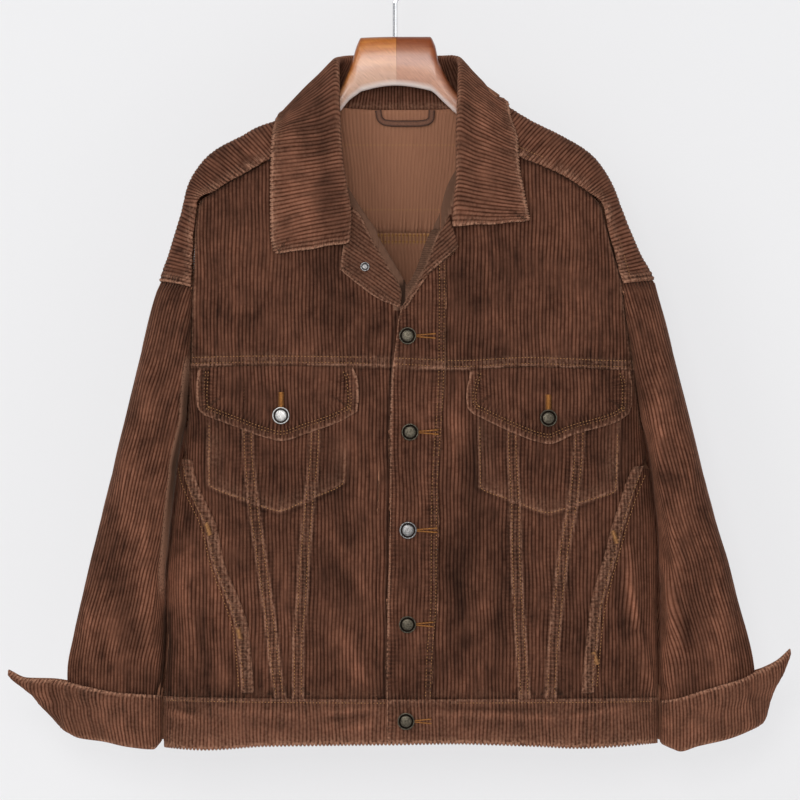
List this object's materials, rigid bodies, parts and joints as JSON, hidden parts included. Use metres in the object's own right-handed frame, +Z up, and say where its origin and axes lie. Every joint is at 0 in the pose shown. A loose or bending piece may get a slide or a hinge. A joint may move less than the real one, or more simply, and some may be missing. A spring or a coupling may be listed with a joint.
{
  "type": "corduroy trucker jacket on a hanger",
  "caption": "Wide-wale corduroy trucker jacket, boxy with drop shoulders and turned-back cuffs, buttoned and hanging on a wooden hanger with a steel hook.",
  "frame": {"origin": "inside top of the hanger's hook, where a rail or a peg carries it", "axes": "+Z up, the front faces -Y, the wearer's left is +X"},
  "size_m": [0.7799, 0.0893, 0.8006],
  "materials": {
    "corduroy": "brown wide-wale cotton corduroy, worn lighter on the seams",
    "hanger_wood": "clear glossy lacquer over red-brown wood",
    "hook_steel": "polished plating",
    "bronze_buttons": "aged dark bronze",
    "silver_buttons": "worn antique silver"
  },
  "bodies": {
    "root": {"back_panel": "corduroy", "back_yoke": "corduroy", "button_band": "corduroy", "buttonhole_band": "corduroy", "collar": "corduroy", "cuff_left": "corduroy", "cuff_right": "corduroy", "flap_button_left": "bronze_buttons", "flap_button_right": "silver_buttons", "front_button_1": "bronze_buttons", "front_button_2": "bronze_buttons", "front_button_3": "silver_buttons", "front_button_4": "bronze_buttons", "front_button_5": "bronze_buttons", "front_centre_left": "corduroy", "front_centre_right": "corduroy", "front_chest_left": "corduroy", "front_chest_right": "corduroy", "front_dart_left": "corduroy", "front_dart_right": "corduroy", "front_outer_left": "corduroy", "front_outer_right": "corduroy", "front_side_left": "corduroy", "front_side_right": "corduroy", "hanger_hook": "hook_steel", "hanger_wood": "hanger_wood", "hanging_loop": "corduroy", "lapel_left": "corduroy", "lapel_right": "corduroy", "lapel_rivet": "silver_buttons", "pocket_flap_left": "corduroy", "pocket_flap_right": "corduroy", "pocket_welt_left": "corduroy", "pocket_welt_right": "corduroy", "sleeve_left": "corduroy", "sleeve_right": "corduroy", "waistband_back": "corduroy", "waistband_left": "corduroy", "waistband_right": "corduroy"}
  },
  "joints": []
}
